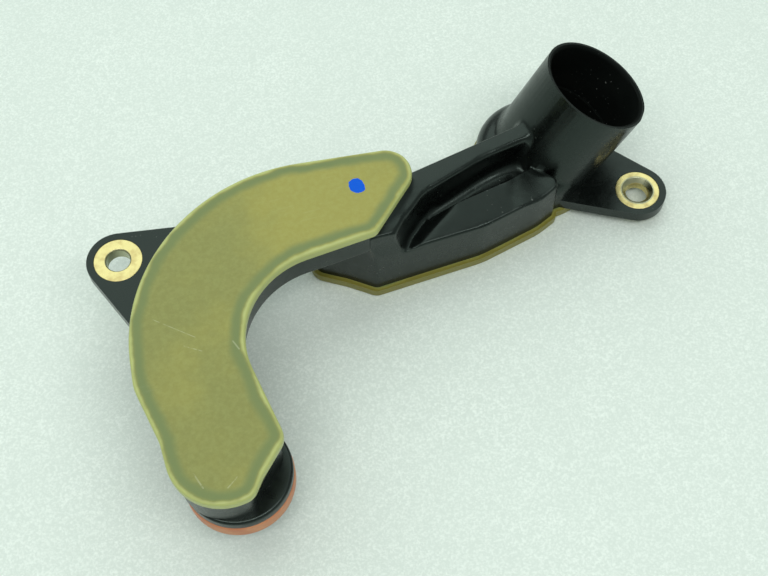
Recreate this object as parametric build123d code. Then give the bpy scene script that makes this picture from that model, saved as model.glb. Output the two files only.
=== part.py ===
from build123d import *
from math import cos, radians, sin
import os

# Transmission filter pipe: a black moulded oil duct with two welded covers, two brass bushings and a seal.
# Millimetres. The origin is on the right bolt's axis, at the underside of the right ear.
# +X runs from the left bolt to the right bolt, +Z up along the bolts.

# Fixings
bolt_spacing = 148.6
ear_thickness = 3.5
bushing_diameter = 13.0
bushing_bore = 6.4
ear_rim = 1.9
bushing_chamfer = 0.35
countersink_depth = 1.3

# Heights
lower_weld_z = 0.0
groove_z = 14.2
shelf_z = 15.6
trough_floor_z = 20.0
ridge_z = 26.3
upper_weld_z = 29.2

# Walls and covers
wall = 2.0
mould_radius = 0.9
least_radius = 0.3
trough_radius = 0.8
lower_cover_radius = 0.5
cover_lip = 1.2
upper_cover_thickness = 2.5
lower_cover_thickness = 3.0
rib_height = 1.2
rib_width = 1.2
rib_clearance = 0.3

# The upright corner where both troughs meet
junction_x = -81.4

# Socket for the filter's neck, leaning over the right ear
socket_foot = (-26.1, 18.8)
socket_lean = 26.4
socket_swing = 1.9
socket_diameter = 31.7
socket_wall = 1.35
socket_depth = 16.0
socket_rim_z = 31.7
socket_lead_in = 0.5
foot_radius = 17.2
foot_height = 12.5
foot_dome = 6.0

# Spigot with its radial seal
spigot_bore = 18.8
spigot_wall = 2.2
flange_overhang = 2.1
flange_top_drop = 2.5
flange_thickness = 3.0
seal_height = 5.2
seal_thickness = 2.3
seal_crown = 0.8
lip_height = 2.3
lip_overhang = 1.0

# Roofs of the lower trough: the rise for each millimetre along X and along Y
ridge_slope = (-0.065, 0.0)
shelf_slope = (-0.05, 0.2)
shelf_end_slope = (0.2, 0.12)
ramp_slope = (0.36, -0.35)

# Rounding on the lower trough
bowl_radius = 3.0
ridge_radius = 1.4
crest_radius = 0.3
joint_radius = 3.0

left = -bolt_spacing
ear_tip_radius = bushing_diameter / 2 + ear_rim
spigot_x = left + 20.0
spigot_y = -63.1
seal_seat_radius = spigot_bore / 2 + spigot_wall
seal_radius = seal_seat_radius + seal_thickness
flange_radius = seal_seat_radius + flange_overhang
lip_radius = seal_seat_radius + lip_overhang
foot_x, foot_y = socket_foot

# Heights and distances that reach clear past the lower trough
clear_z = 40.0
clear_y = -35.0
open_y = -16.0

# Outlines are corner points, each with the radius that rounds it: (x, y, radius)
upper_outline = [
    (left + 1.3, 16.5, 49.2),
    (junction_x + 14.2, 12.0, 7.2),
    (junction_x + 13.8, 2.2, 5.7),
    (junction_x + 0.1, -12.6, 3.0),
    (left + 23.5, -18.9, 23.2),
    (spigot_x + 13.2, spigot_y + 0.1, 4.7),
    (spigot_x + 6.1, spigot_y - 8.1, 5.9),
    (spigot_x + 3.0, spigot_y - 12.7, 4.2),
    (spigot_x - 14.3, spigot_y - 16.1, 13.9),
    (spigot_x - 16.2, spigot_y + 5.8, 9.5),
    (left - 0.3, -41.7, 14.2),
]
lower_outline = [
    (junction_x - 15.3, -2.3, 4.0),
    (junction_x - 7.0, -6.9, 12.0),
    (junction_x + 0.1, -11.7, 2.5),
    (junction_x + 31.9, -8.3, 25.0),
    (foot_x - 5.4, foot_y - 21.9, 20.0),
    (foot_x + 0.6, foot_y - 18.9, 1.5),
    (foot_x + 0.6, foot_y + 0.7, 0.0),
    (junction_x + 10.0, 6.0, 30.0),
    (junction_x - 15.3, 5.0, 4.6),
]
pocket_outline = [
    (junction_x + 3.5, -18.5, 0.0),
    (junction_x + 9.8, -6.5, 8.0),
    (junction_x + 16.8, 0.3, 15.0),
    (junction_x + 35.4, 8.2, 60.0),
    (foot_x + 10.0, foot_y - 2.5, 0.0),
    (foot_x + 10.0, clear_y, 0.0),
    (junction_x + 3.5, clear_y, 0.0),
]
shelf_outline = [
    (junction_x + 15.5, -2.6, 0.0),
    (junction_x + 41.1, 3.5, 20.0),
    (foot_x + 10.0, foot_y - 5.0, 0.0),
    (foot_x + 10.0, clear_y, 0.0),
    (junction_x - 16.0, clear_y, 0.0),
]


def face(outline, inset=0.0):
    """Flat face inside an outline, drawn in by inset, or out where inset is negative."""
    corners = [Vector(x, y) for x, y, radius in outline]
    before = corners[-1:] + corners[:-1]
    after = corners[1:] + corners[:1]
    turning = sum(a.cross(b).Z for a, b in zip(corners, after))
    side = 1 if turning > 0 else -1
    points, radii = [], []
    for last, corner, following, (x, y, radius) in zip(before, corners, after, outline):
        inward_a = Vector(0, 0, side).cross((corner - last).normalized())
        inward_b = Vector(0, 0, side).cross((following - corner).normalized())
        points.append(corner + (inward_a + inward_b) * (inset / (1 + inward_a.dot(inward_b))))
        convex = side * inward_a.cross(inward_b).Z > 0
        rounded = max(radius - inset if convex else radius + inset, least_radius)
        radii.append(rounded if radius else 0.0)
    return make_face(FilletPolyline(*points, radius=radii, close=True))


def disc(x, y, radius):
    """Flat round face about a point."""
    return Pos(x, y) * Circle(radius)


def prism(flat, low, high):
    """Upright solid over a flat face, from one height to another."""
    return extrude(Plane.XY.offset(low) * flat, high - low)


def under(solid, point, slope):
    """Part of a solid below a sloping roof that passes through a point."""
    return split(solid, bisect_by=Plane(origin=point, z_dir=(-slope[0], -slope[1], 1)), keep=Keep.BOTTOM)


def lower_face(inset=0.0):
    """Plan of the lower trough with the round foot of the socket."""
    return face(lower_outline, inset) + disc(foot_x, foot_y, foot_radius - inset)


def roofs(solid):
    """Flat faces that look up, the highest first."""
    flat = solid.faces().filter_by(lambda f: f.is_planar and f.normal_at().Z > 0.9)
    return flat.sort_by(Axis.Z, reverse=True)


def along(outline, edges):
    """Those edges that run over an outline."""
    line = face(outline).wire()
    return [e for e in edges if line.distance_to(Vertex(e.center().X, e.center().Y, 0)) < 0.01]


def level(edge):
    """Whether an edge runs nearer to level than to upright."""
    return edge.length > 1 and abs(edge.tangent_at(0.5).Z) < 0.7


# Upper trough: a floor and a wall under the upper cover
left_root = Line((left + 28.0, 5.4), (left + 4.9, -29.0))
left_ear = make_hull(disc(left, 0, ear_tip_radius).edges() + left_root.edges())
upper = prism(face(upper_outline, cover_lip), trough_floor_z, upper_weld_z)
upper = fillet(upper.faces().sort_by(Axis.Z)[0].edges(), trough_radius)
upper += prism(left_ear, trough_floor_z, trough_floor_z + ear_thickness)
upper_hollow = prism(face(upper_outline, cover_lip + wall), trough_floor_z + wall, upper_weld_z)

# Lower trough: a tall block under a falling ridge, with a pocket cut in its near side round a raised shelf
ridge_point = Vector(junction_x + 6.4, 0, ridge_z)
shelf_point = Vector(junction_x + 26.4, -8.5, shelf_z)
shelf_end_point = Vector(junction_x + 48.0, -3.6, shelf_z + 1.6)
ramp_point = Vector(junction_x + 7.0, -11.0, groove_z)
block = prism(face(lower_outline), lower_weld_z, upper_weld_z)
lower = under(block, ridge_point, ridge_slope)
pocket = prism(face(pocket_outline), groove_z, clear_z)
pocket_floor = pocket.faces().sort_by(Axis.Z)[0]
pocket_foot = [e for e in pocket_floor.edges() if e.center().Y > open_y and e.center().X < foot_x + 6]
pocket = fillet(pocket_foot, bowl_radius)
shelf = prism(face(shelf_outline), lower_weld_z, clear_z)
shelf = under(shelf, shelf_point, shelf_slope) + under(shelf, shelf_end_point, shelf_end_slope)
shelf = under(shelf, ramp_point, ramp_slope)
lower -= pocket - shelf
lower = fillet(along(pocket_outline, roofs(lower)[0].edges()), ridge_radius)
lower = fillet(along(lower_outline, roofs(lower)[0].edges()), mould_radius)
rim = [e for e in along(lower_outline, lower.edges()) if groove_z < e.center().Z < ridge_z - 6]
shelf_rim = [e for e in rim if level(e) and e.center().X > junction_x + 12 and e.center().Y < 1]
lower = fillet(shelf_rim, mould_radius)
crest = [e for e in along(shelf_outline, lower.edges()) if level(e) and e.center().Z > groove_z + 0.5]
lower = fillet(crest, crest_radius)

lower_hollow = prism(face(lower_outline, wall), lower_weld_z, groove_z - wall)
ridge_face = face(lower_outline, wall) - face(pocket_outline, -wall)
ridge_hollow = prism(ridge_face, lower_weld_z, upper_weld_z)
ridge_hollow = under(ridge_hollow, ridge_point - Vector(0, 0, wall), ridge_slope)
shelf_hollow = prism(face(shelf_outline, wall) & face(lower_outline, wall), lower_weld_z, upper_weld_z)
shelf_hollow = under(shelf_hollow, shelf_point - Vector(0, 0, wall), shelf_slope)
shelf_hollow = under(shelf_hollow, ramp_point - Vector(0, 0, wall), ramp_slope)

# Foot of the socket: a round drum with a domed top
foot = prism(disc(foot_x, foot_y, foot_radius), lower_weld_z, foot_height)
foot = fillet(foot.edges().group_by(Axis.Z)[-1], foot_dome)
foot_hollow = prism(disc(foot_x, foot_y, foot_radius - wall), lower_weld_z, foot_height - wall)
foot_hollow = fillet(foot_hollow.edges().group_by(Axis.Z)[-1], foot_dome - wall)

# Socket: a leaning tube with its rim square to its axis, and a step where the neck stops
lean = radians(socket_lean)
swing = radians(socket_swing)
socket_axis = Vector(sin(lean) * cos(swing), sin(lean) * sin(swing), cos(lean))
socket = Plane(origin=(foot_x, foot_y, lower_weld_z), z_dir=socket_axis)
socket_length = socket_rim_z / cos(lean)
socket_radius = socket_diameter / 2
bore_radius = socket_radius - socket_wall


def tube(radius, low, high):
    """Cylinder along the socket's axis, between two distances from its foot."""
    return extrude(socket.offset(low) * Circle(radius), high - low)


neck = split(tube(socket_radius, -socket_radius, socket_length), bisect_by=Plane.XY, keep=Keep.TOP)
ear_top = Plane.XY.offset(ear_thickness)
passage = split(tube(socket_radius - wall, -socket_radius, socket_length), bisect_by=ear_top, keep=Keep.TOP)
bore = tube(bore_radius, socket_length - socket_depth, socket_length)
mouth = Cone(bore_radius, bore_radius + socket_lead_in, socket_lead_in)
bore += socket.offset(socket_length - socket_lead_in / 2).location * mouth

# Ears round the bolts
right_root = Line((foot_x + 2.5, foot_y - 16.6), (foot_x + 18.1, foot_y + 3.2))
right_ear = make_hull(Circle(ear_tip_radius).edges() + right_root.edges())
right_ear_plate = prism(right_ear, lower_weld_z, lower_weld_z + ear_thickness)

# Spigot under the far end of the upper trough: flange, seal seat and end lip
flange_top_z = trough_floor_z - flange_top_drop
flange_low_z = flange_top_z - flange_thickness
seal_low_z = flange_low_z - seal_height
spigot_end_z = seal_low_z - lip_height
end_face = face(upper_outline, cover_lip) & disc(spigot_x, spigot_y, flange_radius + 1.5)
spigot = prism(end_face, flange_top_z, trough_floor_z + trough_radius)
flange = prism(disc(spigot_x, spigot_y, flange_radius), flange_low_z, flange_top_z)
spigot += fillet(flange.edges().group_by(Axis.Z)[-1], mould_radius)
spigot += prism(disc(spigot_x, spigot_y, seal_seat_radius), seal_low_z, flange_low_z)
spigot += prism(disc(spigot_x, spigot_y, lip_radius), spigot_end_z, seal_low_z)
port = disc(spigot_x, spigot_y, spigot_bore / 2)
spigot_hollow = prism(port, spigot_end_z, flange_low_z)
spigot_hollow += prism(port & face(upper_outline, cover_lip + wall), flange_low_z, trough_floor_z + wall)


def tube_joints(solid, chosen):
    """Chosen edges where the outside of the socket's tube meets the rest of a solid."""
    walls = solid.faces().filter_by(GeomType.CYLINDER)
    walls = walls.filter_by(lambda f: abs(f.axis_of_rotation.direction.dot(socket_axis)) > 0.999)
    return [e for e in walls.edges() if e.center().Z < socket_rim_z and chosen(e.center())]


# The moulding in one piece, with rounded joints where the ridge and the drum run into the socket
joint_x = foot_x - 4.5
base = lower + foot + neck + right_ear_plate
drum_joint = tube_joints(base, lambda c: c.Y > foot_y + 5 and c.Z > 1)
ridge_joint = tube_joints(base, lambda c: c.X < joint_x and c.Z > foot_height and c.Y < foot_y)
base = fillet(drum_joint + ridge_joint, joint_radius)
body = upper + base + spigot
body -= upper_hollow + lower_hollow + ridge_hollow + shelf_hollow
body -= foot_hollow + passage + bore + spigot_hollow
for x, z in ((0, 0), (left, trough_floor_z)):
    body -= prism(disc(x, 0, bushing_diameter / 2), z, z + ear_thickness)

# Upper cover: a plate with a rounded edge and a locating rib inside the trough's wall
rib_inset = wall + rib_clearance
upper_cover = prism(face(upper_outline), upper_weld_z, upper_weld_z + upper_cover_thickness)
upper_cover = fillet(upper_cover.faces().sort_by(Axis.Z)[-1].edges(), mould_radius)
upper_rib = face(upper_outline, cover_lip + rib_inset)
upper_rib -= face(upper_outline, cover_lip + rib_inset + rib_width)
upper_cover += prism(upper_rib, upper_weld_z - rib_height, upper_weld_z)

# Lower cover: the same make, closing the lower trough and the socket's foot from below
lower_cover = prism(lower_face(-cover_lip), lower_weld_z - lower_cover_thickness, lower_weld_z)
lower_cover = fillet(lower_cover.faces().sort_by(Axis.Z)[0].edges(), lower_cover_radius)
lower_rib = lower_face(rib_inset) - lower_face(rib_inset + rib_width)
lower_cover += prism(lower_rib, lower_weld_z, lower_weld_z + rib_height)


def bushing(x, z):
    """Brass tube as long as the ear is thick, with its top edge broken."""
    ring = disc(x, 0, bushing_diameter / 2) - disc(x, 0, bushing_bore / 2)
    sleeve = prism(ring, z, z + ear_thickness)
    rims = sleeve.faces().sort_by(Axis.Z)[-1].edges().sort_by(SortBy.RADIUS)
    return chamfer(rims[:1], bushing_chamfer)


left_bushing = bushing(left, trough_floor_z)
right_bushing = bushing(0, lower_weld_z)
countersink = Cone(bushing_bore / 2, bushing_bore / 2 + countersink_depth, countersink_depth)
right_bushing -= Pos(0, 0, lower_weld_z + ear_thickness - countersink_depth / 2) * countersink

# Radial seal: a ring filling its seat, thicker round the middle
seal_shoulder = seal_radius - seal_crown
profile = make_face(Polyline(
    (seal_seat_radius, seal_low_z),
    (seal_shoulder, seal_low_z),
    (seal_radius, seal_low_z + seal_crown),
    (seal_radius, flange_low_z - seal_crown),
    (seal_shoulder, flange_low_z),
    (seal_seat_radius, flange_low_z),
    close=True,
))
spigot_seal = Pos(spigot_x, spigot_y, 0) * revolve(Plane.XZ * profile, Axis.Z)

pieces = {
    "pipe_body": body,
    "upper_cover": upper_cover,
    "lower_cover": lower_cover,
    "left_bushing": left_bushing,
    "right_bushing": right_bushing,
    "spigot_seal": spigot_seal,
}
os.makedirs("parts", exist_ok=True)
for name, piece in pieces.items():
    export_step(piece, f"parts/{name}.step")
    print(name, round(piece.volume), "mm3,", len(piece.solids()), "solid")
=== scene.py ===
import math

import bmesh
import bpy
from mathutils import Matrix, Vector, bvhtree, kdtree


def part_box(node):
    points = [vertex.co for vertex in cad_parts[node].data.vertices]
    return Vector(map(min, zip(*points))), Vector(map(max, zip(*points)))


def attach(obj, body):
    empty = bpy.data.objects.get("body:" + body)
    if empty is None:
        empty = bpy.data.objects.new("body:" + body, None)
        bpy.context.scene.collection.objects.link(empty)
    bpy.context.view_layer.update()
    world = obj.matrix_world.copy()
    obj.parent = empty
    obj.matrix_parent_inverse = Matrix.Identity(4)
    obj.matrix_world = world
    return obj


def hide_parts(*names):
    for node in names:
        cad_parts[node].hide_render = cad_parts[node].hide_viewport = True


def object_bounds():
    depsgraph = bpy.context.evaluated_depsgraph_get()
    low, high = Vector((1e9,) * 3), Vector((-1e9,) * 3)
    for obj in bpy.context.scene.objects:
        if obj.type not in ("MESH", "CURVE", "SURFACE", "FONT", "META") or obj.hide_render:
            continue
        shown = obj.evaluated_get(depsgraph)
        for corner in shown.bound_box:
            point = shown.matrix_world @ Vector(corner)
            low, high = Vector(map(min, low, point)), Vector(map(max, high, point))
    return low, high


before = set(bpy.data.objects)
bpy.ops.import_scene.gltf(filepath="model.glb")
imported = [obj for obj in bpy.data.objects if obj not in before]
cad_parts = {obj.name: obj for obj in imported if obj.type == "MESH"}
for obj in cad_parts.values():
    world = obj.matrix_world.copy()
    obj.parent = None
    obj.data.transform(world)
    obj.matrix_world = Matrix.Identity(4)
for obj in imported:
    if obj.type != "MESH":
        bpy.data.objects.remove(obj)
cad_low, cad_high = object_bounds()


# Pipe body: one black moulding of glass-filled polyamide, with both troughs, the ears, the leaning socket
# and the spigot in one shot. The mould leaves its skin semi-gloss, with faint flow marks, slightly worn corners
# and a few specks of dust.
merge_gap = 2e-6
cut_gap = 1e-7
flat_angle = 0.5
corner_angle = 30.0
worn_reach = 0.0003
worn_from, worn_to = 0.99, 0.8
body_black = (0.0016, 0.002, 0.0018, 1)
body_flow = (0.003, 0.0037, 0.0033, 1)
body_worn = (0.016, 0.019, 0.0175, 1)
dust_grey = (0.11, 0.12, 0.11, 1)

# The leaning socket: its axis, the depth at which its bore turns matt, and rings that cut its wall so its
# shading stays even
socket_foot = Vector((-0.0261, 0.0188, 0))
socket_axis = Vector((0.44439, 0.01474, 0.89571)).normalized()
socket_radius = 0.01585
bore_matt_from, bore_matt_to = 0.0004, 0.0009
first_ring, ring_step, ring_count = 0.004, 0.0025, 13

# The box round the pocket beside the ridge that is smoothed, how often, and how much of each step its crests
# take, and its hollows on the left
pocket_low = Vector((-0.088, -0.022, 0.0125))
pocket_high = Vector((-0.024, 0.016, 0.0275))
pocket_cell = 0.0008
pocket_turns = 30
skin_gap = 0.0001
sky_reach = 0.1
box_fade_x, box_fade_z, socket_fade = 0.004, 0.0015, 0.002
crest_share, low_crest_share, hollow_share = 0.55, 0.2, 0.8
low_crest_z, high_crest_z = 0.0165, 0.0195
hollow_left, hollow_right = -0.068, -0.052

# The near wall's line in plan, which stays flat
near_wall = [Vector(place) for place in ((-0.0813, -0.0117), (-0.0495, -0.0083), (-0.0315, -0.0031),
                                         (-0.0255, -0.0001))]
near_wall_reach = 0.0004
upright = 0.2

# The ridge's left corner, drawn out to the left
corner_left, corner_middle, corner_right = -0.0845, -0.0779, -0.069
corner_low, corner_high = 0.0145, 0.0225
corner_front, corner_back = -0.0125, -0.002
corner_reach = 0.0032

# The shelf's right end, let down, and more so where its joint runs into the socket
sink_start, sink_end = -0.042, -0.028
sink_low, sink_full = 0.0123, 0.0165
sink_depth, joint_depth, joint_reach = 0.0035, 0.005, 0.0035
slide_low, slide_high = 0.0215, 0.028
shelf_crest, shelf_back = 0.0075, 0.0125


def add_object(name, data):
    """A new object, linked into the scene."""
    made = bpy.data.objects.new(name, data)
    bpy.context.scene.collection.objects.link(made)
    return made


def moulding_from(node, name):
    """A merged copy of a CAD node's mesh, with flat faces joined up."""
    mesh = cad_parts[node].data.copy()
    mesh.name = name
    work = bmesh.new()
    work.from_mesh(mesh)
    bmesh.ops.remove_doubles(work, verts=work.verts, dist=merge_gap)
    bmesh.ops.dissolve_limit(work, angle_limit=math.radians(flat_angle), verts=work.verts, edges=work.edges,
                             delimit={"NORMAL"})
    work.to_mesh(mesh)
    work.free()
    mesh.materials.clear()
    return add_object(name, mesh)


def shade(piece):
    """Shades a piece smooth up to its corners, which stay crisp."""
    piece.data.shade_smooth()
    piece.data.set_sharp_from_angle(angle=math.radians(corner_angle))


class Finish:
    """A material with its shader, and short ways to add nodes and join them."""

    def __init__(self, name):
        self.material = bpy.data.materials.new(name)
        self.material.use_nodes = True
        self.tree = self.material.node_tree
        self.shader = self.tree.nodes["Principled BSDF"]
        self.place = self.node("ShaderNodeTexCoord").outputs["Object"]

    def node(self, kind, inputs=None, **settings):
        made = self.tree.nodes.new(kind)
        for key, value in settings.items():
            setattr(made, key, value)
        for key, value in (inputs or {}).items():
            if isinstance(value, bpy.types.NodeSocket):
                self.tree.links.new(value, made.inputs[key])
            else:
                made.inputs[key].default_value = value
        return made

    def noise(self, scale, detail=3.0, roughness=0.5, stretch=(1, 1, 1)):
        """Noise over the piece, from 0 to 1; scale is in waves for each metre."""
        place = self.node("ShaderNodeMapping", {"Vector": self.place, "Scale": stretch}).outputs["Vector"]
        return self.node("ShaderNodeTexNoise", {"Vector": place, "Scale": scale, "Detail": detail,
                                                "Roughness": roughness}).outputs["Fac"]

    def span(self, value, low, high, to_low=0.0, to_high=1.0):
        """A value moved smoothly from one range into another and held at its ends."""
        inputs = {"Value": value, "From Min": low, "From Max": high, "To Min": to_low, "To Max": to_high}
        return self.node("ShaderNodeMapRange", inputs, interpolation_type="SMOOTHSTEP").outputs["Result"]

    def math(self, operation, *values):
        return self.node("ShaderNodeMath", dict(enumerate(values)), operation=operation).outputs[0]

    def blend(self, share, first, second):
        """One colour laid over another by a share from 0 to 1."""
        return self.node("ShaderNodeMix", {0: share, 6: first, 7: second}, data_type="RGBA").outputs[2]

    def worn_edge(self, reach):
        """1 on corners and 0 on flats, from how far a rounded normal leans from the true one."""
        rounded = self.node("ShaderNodeBevel", {"Radius": reach}, samples=6).outputs["Normal"]
        true = self.node("ShaderNodeNewGeometry").outputs["Normal"]
        lean = self.node("ShaderNodeVectorMath", {0: rounded, 1: true}, operation="DOT_PRODUCT").outputs["Value"]
        return self.span(lean, worn_from, worn_to)

    def bump(self, height, strength, distance, under=None):
        inputs = {"Height": height, "Strength": strength, "Distance": distance}
        if under:
            inputs["Normal"] = under
        return self.node("ShaderNodeBump", inputs).outputs["Normal"]

    def set(self, **inputs):
        """Shader inputs by name, with an underscore for each space."""
        for key, value in inputs.items():
            socket = self.shader.inputs[key.replace("_", " ")]
            if isinstance(value, bpy.types.NodeSocket):
                self.tree.links.new(value, socket)
            else:
                socket.default_value = value


def held(value, low, high):
    """A smooth step from 0 at low to 1 at high."""
    share = min(max((value - low) / (high - low), 0.0), 1.0)
    return share * share * (3 - 2 * share)


def from_socket(point):
    """Distance of a point from the leaning socket's wall, negative inside it."""
    away = point - socket_foot
    return (away - socket_axis * away.dot(socket_axis)).length - socket_radius


def in_box(point, low, high):
    return all(low[axis] <= point[axis] <= high[axis] for axis in range(3))


def cut(work, faces, point, normal):
    """Cuts some faces of a mesh along a plane."""
    edges = dict.fromkeys(edge for face in faces for edge in face.edges)
    verts = dict.fromkeys(vert for face in faces for vert in face.verts)
    bmesh.ops.bisect_plane(work, geom=[*verts, *edges, *faces], dist=cut_gap, plane_co=point, plane_no=normal)


def plane_across(axis, place):
    """A point and the normal of the plane square to an axis at a place."""
    point, normal = Vector((0, 0, 0)), Vector((0, 0, 0))
    point[axis], normal[axis] = place, 1
    return point, normal


def cut_into_cells(work, low, high, cell):
    """Cuts a mesh along a box's sides and the faces inside it into cells, but leaves the socket whole."""
    for axis in range(3):
        steps = math.ceil((high[axis] - low[axis]) / cell)
        for step in range(steps + 1):
            side = step in (0, steps)
            faces = []
            for face in work.faces:
                centre = face.calc_center_median()
                if (side or in_box(centre, low, high)) and from_socket(centre) > skin_gap:
                    faces.append(face)
            cut(work, faces, *plane_across(axis, low[axis] + step * cell))


def on_near_wall(vert):
    """True for the upright skin of the near wall."""
    for start, end in zip(near_wall, near_wall[1:]):
        run = end - start
        share = min(max((vert.co.xy - start).dot(run) / run.length_squared, 0.0), 1.0)
        if abs(vert.normal.z) < upright and (vert.co.xy - start - run * share).length < near_wall_reach:
            return True
    return False


def soft_points(work):
    """The pocket's points that see the sky, each with its share of the smoothing."""
    skin = bvhtree.BVHTree.FromBMesh(work)
    soft = []
    for vert in work.verts:
        place = vert.co
        if not in_box(place, pocket_low, pocket_high):
            continue
        open_above = skin.ray_cast(place + vert.normal * skin_gap, Vector((0, 0, 1)), sky_reach)[0] is None
        if open_above and not on_near_wall(vert):
            ends = held(place.x, pocket_low.x, pocket_low.x + box_fade_x)
            ends *= held(place.z, pocket_low.z, pocket_low.z + box_fade_z)
            soft.append((vert, ends * held(from_socket(place), skin_gap, socket_fade)))
    return soft


def smooth(work, soft, turns):
    """Moves each soft point towards the middle of its neighbours, most of all in hollows on the left."""
    for _ in range(turns):
        moves = []
        for vert, share in soft:
            near = [edge.other_vert(vert).co for edge in vert.link_edges]
            move = sum(near, Vector()) / len(near) - vert.co
            left_share = 1 - held(vert.co.x, hollow_left, hollow_right)
            hollow = move.dot(vert.normal) > 0
            height_share = held(vert.co.z, low_crest_z, high_crest_z)
            strength = low_crest_share + (crest_share - low_crest_share) * height_share
            strength += (hollow_share - strength) * (left_share if hollow else 0)
            moves.append(move * share * strength)
        for (vert, share), move in zip(soft, moves):
            vert.co += move
        work.normal_update()


def draw_corner(work):
    """Draws the ridge's left corner out to the left, under the upper cover."""
    for vert in work.verts:
        share = held(vert.co.x, corner_left, corner_middle) * (1 - held(vert.co.x, corner_middle, corner_right))
        share *= held(vert.co.z, corner_low, corner_high) * (1 - held(vert.co.y, corner_front, corner_back))
        vert.co.x -= corner_reach * share


def sink_shelf(work):
    """Lets the shelf's right end down, and slides its joint down along the socket."""
    for vert in work.verts:
        away = from_socket(vert.co)
        if vert.co.x > sink_start and vert.co.y < shelf_back and vert.co.z > sink_low and away > -skin_gap:
            near = 1 - held(away, 0.0, joint_reach)
            share = held(vert.co.x, sink_start, sink_end) * (1 - held(vert.co.y, shelf_crest, shelf_back))
            share *= min((vert.co.z - sink_low) / (sink_full - sink_low), 1.0)
            share *= 1 - near * held(vert.co.z, slide_low, slide_high)
            way = Vector((0, 0, 1)).lerp(socket_axis, near)
            vert.co -= way * share * (sink_depth + (joint_depth - sink_depth) * near)


def sculpt_pocket(piece):
    """Shapes the pocket beside the ridge, so its shelf and the ridge flow into each other."""
    work = bmesh.new()
    work.from_mesh(piece.data)
    for ring in range(ring_count):
        wall_faces = [face for face in work.faces if from_socket(face.calc_center_median()) < skin_gap]
        cut(work, wall_faces, socket_foot + socket_axis * (first_ring + ring_step * ring), socket_axis)
    cut_into_cells(work, pocket_low, pocket_high, pocket_cell)
    work.normal_update()
    soft = soft_points(work)
    smooth(work, soft, 1)
    draw_corner(work)
    smooth(work, soft, pocket_turns - 1)
    sink_shelf(work)
    work.to_mesh(piece.data)
    work.free()


pipe_body = moulding_from("pipe_body", "moulded_pipe_body")
sculpt_pocket(pipe_body)
shade(pipe_body)

polyamide = Finish("black_glass_filled_polyamide")
flow = polyamide.noise(70, detail=5, roughness=0.6, stretch=(1, 1, 2))
skin = polyamide.noise(520, detail=4)
grain = polyamide.noise(2400, detail=3)
specks = polyamide.math("MULTIPLY", polyamide.span(polyamide.noise(1500, detail=1), 0.735, 0.76),
                        polyamide.span(polyamide.noise(60, detail=2), 0.5, 0.62))
colour = polyamide.blend(polyamide.span(flow, 0.35, 0.7), body_black, body_flow)
worn = polyamide.math("MULTIPLY", polyamide.worn_edge(worn_reach), polyamide.span(skin, 0.3, 0.7))
colour = polyamide.blend(worn, colour, body_worn)
colour = polyamide.blend(specks, colour, dust_grey)
from_foot = polyamide.node("ShaderNodeVectorMath", {0: polyamide.place, 1: socket_foot}, operation="SUBTRACT")
across = polyamide.node("ShaderNodeVectorMath", {0: from_foot.outputs[0], 1: socket_axis},
                        operation="CROSS_PRODUCT")
reach = polyamide.node("ShaderNodeVectorMath", {0: across.outputs[0]}, operation="LENGTH").outputs["Value"]
in_bore = polyamide.span(reach, socket_radius - bore_matt_from, socket_radius - bore_matt_to)
gloss = polyamide.math("ADD", polyamide.span(flow, 0.3, 0.7, to_low=0.22, to_high=0.31),
                       polyamide.span(skin, 0.35, 0.7, to_high=0.06))
grain_bump = polyamide.bump(grain, strength=0.1, distance=0.00004)
polyamide.set(
    Base_Color=colour,
    Roughness=polyamide.math("ADD", gloss, polyamide.math("MULTIPLY", in_bore, 0.4)),
    Specular_IOR_Level=polyamide.span(in_bore, 0.0, 1.0, to_low=0.5, to_high=0.12),
    Specular_Tint=(0.8, 1.0, 0.92, 1),
    Normal=polyamide.bump(skin, strength=0.16, distance=0.0001, under=grain_bump),
)
pipe_body.data.materials.append(polyamide.material)
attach(pipe_body, "root")
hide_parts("pipe_body")


# Covers: olive, slightly translucent polyamide plates, moulded and then welded by laser on the rims of the two
# troughs. The black rim under the weld shows through as a darker green band a little way in from the edge.
# Each cover's rounded edge carries light painted into its colour: a painted highlight on the upper cover and
# painted shade on the lower one.
cover_cell = 0.0013
cover_corner = 0.00015
outline_step = 0.0003
level_gap = 1e-5
wall_lean = 0.05
# Where the painted highlight or painted shade of a cover's rounded edge takes over, by distance from the outline
rim_fading, rim_full = 0.0013, 0.0004
band_start, band_full, band_fading, band_end = 0.0007, 0.0018, 0.0024, 0.0048
band_wander = 0.0005
mark_core = 0.3
olive_middle = (0.228, 0.235, 0.058, 1)
olive_tan = (0.32, 0.3, 0.059, 1)
olive_band = (0.16, 0.21, 0.07, 1)
# A pale olive for flecks in the plastic, and also the painted highlight along the upper cover's rounded edge
olive_fleck_and_rim_highlight = (0.46, 0.5, 0.18, 1)
# Painted shade along the lower cover's rounded edge, where it is seen under the part
olive_rim_painted_shade = (0.22, 0.2, 0.035, 1)
print_blue = (0.002, 0.105, 0.68, 1)
scuff_pale = (0.6, 0.63, 0.42, 1)


def soften(piece, width, steps):
    """Rounds the sharp corners of a piece and shades the rest smooth, with its flat faces kept flat."""
    shade(piece)
    bevel = piece.modifiers.new("soft_corners", "BEVEL")
    bevel.width = width
    bevel.segments = steps
    bevel.limit_method = "ANGLE"
    bevel.angle_limit = math.radians(corner_angle)
    bevel.miter_outer = "MITER_ARC"
    bevel.harden_normals = True
    graph = bpy.context.evaluated_depsgraph_get()
    done = bpy.data.meshes.new_from_object(piece.evaluated_get(graph))
    done.name = piece.name
    piece.modifiers.clear()
    piece.data = done


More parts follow.
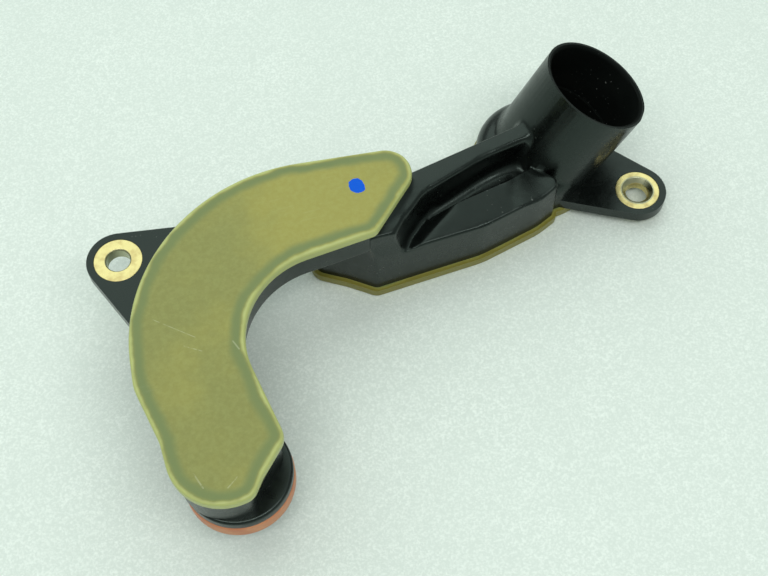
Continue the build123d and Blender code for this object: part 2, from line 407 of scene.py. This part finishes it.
def side_points(piece, weld_z, outward):
    """Points along the plan outline of a cover's plate, at the height of its weld."""
    work = bmesh.new()
    work.from_mesh(piece.data)
    points = []
    for edge in work.edges:
        start, end = (vert.co for vert in edge.verts)
        level = abs(start.z - weld_z) < level_gap and abs(end.z - weld_z) < level_gap
        walls = [face for face in edge.link_faces if abs(face.normal.z) < wall_lean
                 and (face.calc_center_median().z - weld_z) * outward > 0]
        if level and walls:
            steps = max(1, math.ceil(edge.calc_length() / outline_step))
            points += [start.lerp(end, step / steps) for step in range(steps)]
    work.free()
    return points


def cover_from(node, name, weld_z, outward):
    """A cover's mesh in small cells, each point holding its distance from the cover's outline."""
    piece = moulding_from(node, name)
    points = side_points(piece, weld_z, outward)
    low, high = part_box(node)
    work = bmesh.new()
    work.from_mesh(piece.data)
    for axis in (0, 1):
        for step in range(1, int((high[axis] - low[axis]) / cover_cell)):
            cut(work, work.faces[:], *plane_across(axis, low[axis] + step * cover_cell))
    work.to_mesh(piece.data)
    work.free()
    soften(piece, cover_corner, 2)
    outline = kdtree.KDTree(len(points))
    for index, point in enumerate(points):
        outline.insert((point.x, point.y, 0), index)
    outline.balance()
    reach = piece.data.attributes.new("rim_distance", "FLOAT", "POINT")
    reach.data.foreach_set("value", [outline.find((vert.co.x, vert.co.y, 0))[2] for vert in piece.data.vertices])
    return piece


upper_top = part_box("upper_cover")[1].z
lower_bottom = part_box("lower_cover")[0].z
upper_plate = 0.0025
lower_plate = 0.003
upper_cover = cover_from("upper_cover", "welded_upper_cover", upper_top - upper_plate, 1)
lower_cover = cover_from("lower_cover", "welded_lower_cover", lower_bottom + lower_plate, -1)


def olive_finish(name, rim_shade_share):
    """The covers' plastic; its last argument turns the rounded edge from a painted highlight to painted shade, for
    the lower cover seen under the part.
    """
    finish = Finish(name)
    rim = finish.node("ShaderNodeAttribute", attribute_name="rim_distance").outputs["Fac"]
    wander = finish.span(finish.noise(110, detail=3), 0.2, 0.8, to_low=-band_wander, to_high=band_wander)
    rim = finish.math("ADD", rim, wander)
    cloud = finish.noise(28, detail=4, roughness=0.6)
    fine = finish.noise(900, detail=4, roughness=0.6)
    along = finish.node("ShaderNodeSeparateXYZ", {0: finish.place}).outputs["X"]
    drift = finish.span(cloud, 0.35, 0.65, to_low=-0.3, to_high=0.3)
    tan_share = finish.math("ADD", finish.span(along, -0.16, -0.07), drift)
    colour = finish.blend(finish.span(tan_share, 0.0, 1.0), olive_middle, olive_tan)
    # Pale flecks of the plastic's own tone
    colour = finish.blend(finish.span(fine, 0.3, 0.75, to_high=0.17), colour, olive_fleck_and_rim_highlight)
    inside = finish.span(rim, band_end, band_fading)
    outside = finish.span(rim, band_start, band_full)
    band = finish.math("MULTIPLY", inside, outside)
    band = finish.math("MULTIPLY", band, finish.span(cloud, 0.3, 0.7, to_low=0.85))
    colour = finish.blend(band, colour, olive_band)
    # The rounded edge: the painted highlight on the upper cover, painted shade on the lower one
    edge = finish.blend(rim_shade_share, olive_fleck_and_rim_highlight, olive_rim_painted_shade)
    colour = finish.blend(finish.span(rim, rim_fading, rim_full), colour, edge)
    return finish, colour, fine, cloud


def line_mark(finish, start, end, width):
    """1 along a straight mark between two places on the cover's top and 0 away from it, uneven in depth."""
    start, end = Vector((*start, 0)), Vector((*end, 0))
    run = end - start
    flat = finish.node("ShaderNodeVectorMath", {0: finish.place, 1: (1, 1, 0)}, operation="MULTIPLY").outputs[0]
    from_start = finish.node("ShaderNodeVectorMath", {0: flat, 1: start}, operation="SUBTRACT").outputs[0]
    along = finish.node("ShaderNodeVectorMath", {0: from_start, 1: run / run.length_squared},
                        operation="DOT_PRODUCT").outputs["Value"]
    along = finish.node("ShaderNodeClamp", {"Value": along}).outputs[0]
    foot = finish.node("ShaderNodeVectorMath", {0: run, 3: along}, operation="SCALE").outputs[0]
    away = finish.node("ShaderNodeVectorMath", {0: from_start, 1: foot}, operation="DISTANCE").outputs["Value"]
    depth = finish.span(finish.noise(700, detail=2), 0.3, 0.55)
    return finish.math("MULTIPLY", finish.span(away, width, width * mark_core), depth)


# The upper cover, with a painted highlight along its rounded edge
upper_olive, colour, fine, cloud = olive_finish("olive_translucent_polyamide", 0.0)

# Scratches from handling: start, end and half their width, and a faint haze of rubbing
scratches = (
    ((-0.1381, -0.0671), (-0.1365, -0.0711), 0.00028),
    ((-0.1309, -0.0724), (-0.1284, -0.0703), 0.00022),
    ((-0.1231, -0.0352), (-0.1220, -0.0377), 0.00028),
    ((-0.1414, -0.0246), (-0.1320, -0.0319), 0.00016),
    ((-0.1350, -0.0337), (-0.1310, -0.0361), 0.00020),
)
marks = None
for start, end, width in scratches:
    mark = line_mark(upper_olive, start, end, width)
    marks = upper_olive.math("MAXIMUM", marks, mark) if marks else mark
rubbing = upper_olive.noise(120, detail=2, roughness=0.5, stretch=(1.0, 9.0, 1.0))
haze = upper_olive.math("MULTIPLY", upper_olive.span(rubbing, 0.64, 0.72), upper_olive.span(cloud, 0.5, 0.62))
marks = upper_olive.math("ADD", marks, upper_olive.math("MULTIPLY", haze, 0.12))
colour = upper_olive.blend(upper_olive.math("MULTIPLY", marks, 0.3), colour, scuff_pale)

# The paint dot, with a ragged edge and a matt skin
dot_place = (-0.0830, 0.0023, upper_top)
dot_radius = 0.0023
dot_wander = 0.00035
dot_edge = 0.00012
away = upper_olive.node("ShaderNodeVectorMath", {0: upper_olive.place, 1: dot_place}, operation="DISTANCE")
wander = upper_olive.span(upper_olive.noise(420, detail=3), 0.3, 0.7, to_low=-dot_wander, to_high=dot_wander)
ragged = upper_olive.math("ADD", away.outputs["Value"], wander)
dot = upper_olive.span(ragged, dot_radius, dot_radius - dot_edge)
colour = upper_olive.blend(dot, colour, print_blue)

# The lower cover: the same plastic, with painted shade along its rounded edge in place of the highlight
lower_olive, lower_colour, lower_fine, _ = olive_finish("olive_polyamide_painted_shade_rim", 1.0)
for finish, piece, cad, cover_colour, height in (
        (upper_olive, upper_cover, "upper_cover", colour, fine),
        (lower_olive, lower_cover, "lower_cover", lower_colour, lower_fine)):
    waves = finish.bump(finish.noise(160, detail=3), strength=0.12, distance=0.0003)
    finish.set(
        Base_Color=cover_colour,
        Roughness=finish.span(height, 0.3, 0.7, to_low=0.3, to_high=0.44),
        Specular_IOR_Level=0.45,
        Subsurface_Weight=0.12,
        Subsurface_Radius=(0.0016, 0.0014, 0.0006),
        Subsurface_Scale=1.0,
        Normal=finish.bump(height, strength=0.1, distance=0.00005, under=waves),
    )
    piece.data.materials.append(finish.material)
    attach(piece, "root")
    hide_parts(cad)
upper_olive.set(Specular_IOR_Level=upper_olive.span(dot, 0.0, 1.0, to_low=0.45, to_high=0.1))


# Bushings: brass tubes turned on a lathe and pressed into the ears, so a bolt clamps brass and not plastic.
# The left one has a plain broken bore, the right one a wide countersink that bolts have rubbed to grey.
turned_sides = 128
turned_angle = 38.0
arc_steps = 4
tool_ring = 0.00012
rubbed_fade_in, rubbed_fade_out, rubbed_full = 0.0002, 0.0003, 0.0001
bushing_break = 0.0003
bore_radius = 0.0032
left_chamfer = 0.00035
right_countersink = 0.0013
brass_yellow = (0.76, 0.66, 0.3, 1)
brass_dull = (0.5, 0.36, 0.15, 1)
brass_rubbed = (0.36, 0.38, 0.27, 1)


def rounded(profile):
    """A closed profile of (radius, height, rounding) corners, with each corner drawn as a short arc."""
    corners = [Vector((radius, height)) for radius, height, rounding in profile]
    points = []
    for index, (radius, height, rounding) in enumerate(profile):
        corner = corners[index]
        if not rounding:
            points.append(corner)
            continue
        back = (corners[index - 1] - corner).normalized() * rounding
        ahead = (corners[(index + 1) % len(corners)] - corner).normalized() * rounding
        for step in range(arc_steps + 1):
            share = step / arc_steps
            points.append(corner + back * (1 - share) ** 2 + ahead * share ** 2)
    return points


def lathe(name, centre, profile):
    """A turned ring about an upright axis, each point holding its radius."""
    points = rounded(profile)
    work = bmesh.new()
    loops = []
    for side in range(turned_sides):
        angle = 2 * math.pi * side / turned_sides
        loops.append([work.verts.new((centre.x + point.x * math.cos(angle), centre.y + point.x * math.sin(angle),
                                      point.y)) for point in points])
    for side, loop in enumerate(loops):
        following = loops[(side + 1) % turned_sides]
        for index in range(len(points)):
            after = (index + 1) % len(points)
            work.faces.new((loop[index], following[index], following[after], loop[after]))
    bmesh.ops.recalc_face_normals(work, faces=work.faces)
    mesh = bpy.data.meshes.new(name)
    work.to_mesh(mesh)
    work.free()
    turned = mesh.attributes.new("turned_radius", "FLOAT", "POINT")
    turned.data.foreach_set("value", [(vert.co.xy - centre.xy).length for vert in mesh.vertices])
    mesh.shade_smooth()
    mesh.set_sharp_from_angle(angle=math.radians(turned_angle))
    return add_object(name, mesh)


def brass_finish(name, rubbed_from, rubbed_to):
    """Turned brass with fine tool rings, rubbed grey between two radii."""
    finish = Finish(name)
    radius = finish.node("ShaderNodeAttribute", attribute_name="turned_radius").outputs["Fac"]
    rings = finish.math("SINE", finish.math("MULTIPLY", radius, 2 * math.pi / tool_ring))
    tarnish = finish.noise(420, detail=4, roughness=0.6)
    nicks = finish.noise(1500, detail=3)
    colour = finish.blend(finish.span(tarnish, 0.45, 0.75, to_high=0.6), brass_yellow, brass_dull)
    rubbed = finish.math("MULTIPLY", finish.span(radius, rubbed_to + rubbed_fade_out, rubbed_to - rubbed_full),
                         finish.span(radius, rubbed_from - rubbed_fade_in, rubbed_from + rubbed_full))
    colour = finish.blend(finish.math("MULTIPLY", rubbed, 0.85), colour, brass_rubbed)
    ring_bump = finish.bump(rings, strength=0.12, distance=0.00001)
    finish.set(
        Base_Color=colour,
        Metallic=1.0,
        Roughness=finish.span(tarnish, 0.3, 0.7, to_low=0.24, to_high=0.42),
        Normal=finish.bump(nicks, strength=0.15, distance=0.00005, under=ring_bump),
    )
    return finish.material


def bushing(node, name, material, top_break):
    """A brass tube in a CAD bushing's place, with its bore broken at the top."""
    low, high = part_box(node)
    centre = (low + high) / 2
    outer = (high.x - low.x) / 2
    piece = lathe(name, centre, (
        (bore_radius, low.z, 0),
        (outer, low.z, bushing_break),
        (outer, high.z, bushing_break),
        (bore_radius + top_break, high.z, bushing_break / 2),
        (bore_radius, high.z - top_break, bushing_break / 2),
    ))
    piece.data.materials.append(material)
    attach(piece, "root")
    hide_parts(node)


left_brass = brass_finish("turned_brass", rubbed_from=0.0, rubbed_to=0.0034)
right_brass = brass_finish("turned_brass_rubbed", rubbed_from=0.0034, rubbed_to=0.0048)
bushing("left_bushing", "turned_left_bushing", left_brass, left_chamfer)
bushing("right_bushing", "turned_right_bushing", right_brass, right_countersink)


# Spigot seal: a ring of orange silicone rubber, moulded in one piece and stretched into its seat under the flange.
seal_orange = (0.56, 0.185, 0.075, 1)
seal_pale = (0.66, 0.3, 0.15, 1)
seal_rounding = 0.0009
seal_inside = 0.0116
seal_low, seal_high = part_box("spigot_seal")
seal_outer = (seal_high.x - seal_low.x) / 2
spigot_seal = lathe("moulded_spigot_seal", (seal_low + seal_high) / 2, (
    (seal_inside, seal_low.z, 0),
    (seal_outer, seal_low.z, seal_rounding),
    (seal_outer, seal_high.z, seal_rounding),
    (seal_inside, seal_high.z, 0),
))
rubber = Finish("orange_silicone_rubber")
bloom = rubber.noise(180, detail=4, roughness=0.6)
pores = rubber.noise(2600, detail=2)
rubber.set(
    Base_Color=rubber.blend(rubber.span(bloom, 0.35, 0.75), seal_orange, seal_pale),
    Roughness=rubber.span(bloom, 0.3, 0.7, to_low=0.42, to_high=0.56),
    Subsurface_Weight=0.1,
    Subsurface_Radius=(0.001, 0.0005, 0.0003),
    Subsurface_Scale=1.0,
    Normal=rubber.bump(pores, strength=0.2, distance=0.00003),
)
spigot_seal.data.materials.append(rubber.material)
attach(spigot_seal, "root")
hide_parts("spigot_seal")


# Floor: a plain pale foam sheet, with the faint sparkle of its beads.
floor_reach = 3.0
floor_pale = (0.7, 0.775, 0.725, 1)
floor_bright = (0.86, 0.93, 0.88, 1)
floor_mesh = bpy.data.meshes.new("floor")
floor_mesh.from_pydata([(-floor_reach, -floor_reach, cad_low.z), (floor_reach, -floor_reach, cad_low.z),
                        (floor_reach, floor_reach, cad_low.z), (-floor_reach, floor_reach, cad_low.z)], [],
                       [(0, 1, 2, 3)])
floor = add_object("floor", floor_mesh)
foam = Finish("pale_foam_sheet")
beads = foam.noise(1500, detail=4, roughness=0.7)
patches = foam.noise(45, detail=4, roughness=0.6)
sparkle = foam.math("MULTIPLY", foam.span(beads, 0.42, 0.68), foam.span(patches, 0.3, 0.7, to_low=0.7))
foam.set(
    Base_Color=foam.blend(sparkle, floor_pale, floor_bright),
    Roughness=foam.span(beads, 0.3, 0.7, to_low=0.62, to_high=0.38),
    Specular_IOR_Level=0.4,
    Normal=foam.bump(beads, strength=0.35, distance=0.0003),
)
floor_mesh.materials.append(foam.material)


# Studio: a pale, slightly green room with a wide bright panel behind the part and a long strip over its front,
# which draws the light lines along the near edges.
part_centre = Vector((-0.075, -0.02, 0.0))
room_colour = (0.88, 1.0, 0.94, 1)
room_strength = 0.35


def soft_lamp(name, place, width, depth, watts, colour):
    """An oblong soft box at a place, level along its width and turned towards the part."""
    lamp = bpy.data.lights.new(name, "AREA")
    lamp.shape = "RECTANGLE"
    lamp.size = width
    lamp.size_y = depth
    lamp.energy = watts
    lamp.color = colour
    holder = add_object(name, lamp)
    holder.location = place
    holder.rotation_mode = "QUATERNION"
    holder.rotation_quaternion = (part_centre - Vector(place)).to_track_quat("-Z", "Y")


soft_lamp("back_panel", (-0.2, 0.6, 0.82), width=2.0, depth=1.2, watts=7.8, colour=(0.92, 1, 0.95))
soft_lamp("front_strip", (-0.08, -0.38, 0.88), width=1.2, depth=0.22, watts=4.8, colour=(1, 1, 0.98))
room = bpy.data.worlds.new("room")
room.use_nodes = True
room.node_tree.nodes["Background"].inputs["Color"].default_value = room_colour
room.node_tree.nodes["Background"].inputs["Strength"].default_value = room_strength
bpy.context.scene.world = room


# Camera: stands where the photograph was taken from.
camera_place = Vector((-0.116741, -0.173597, 0.294587))
camera_right = Vector((0.97153, -0.23682, -0.00637))
camera_up = Vector((0.20946, 0.84613, 0.49009))
camera_back = camera_right.cross(camera_up)
camera_data = bpy.data.cameras.new("camera")
camera_data.sensor_width = 36
camera_data.lens = 55.97
camera_data.clip_start = 0.01
camera = add_object("camera", camera_data)
turn = Matrix((camera_right, camera_up, camera_back)).transposed()
camera.matrix_world = Matrix.Translation(camera_place) @ turn.to_4x4()
bpy.context.scene.camera = camera
bpy.context.scene.view_settings.view_transform = "Standard"
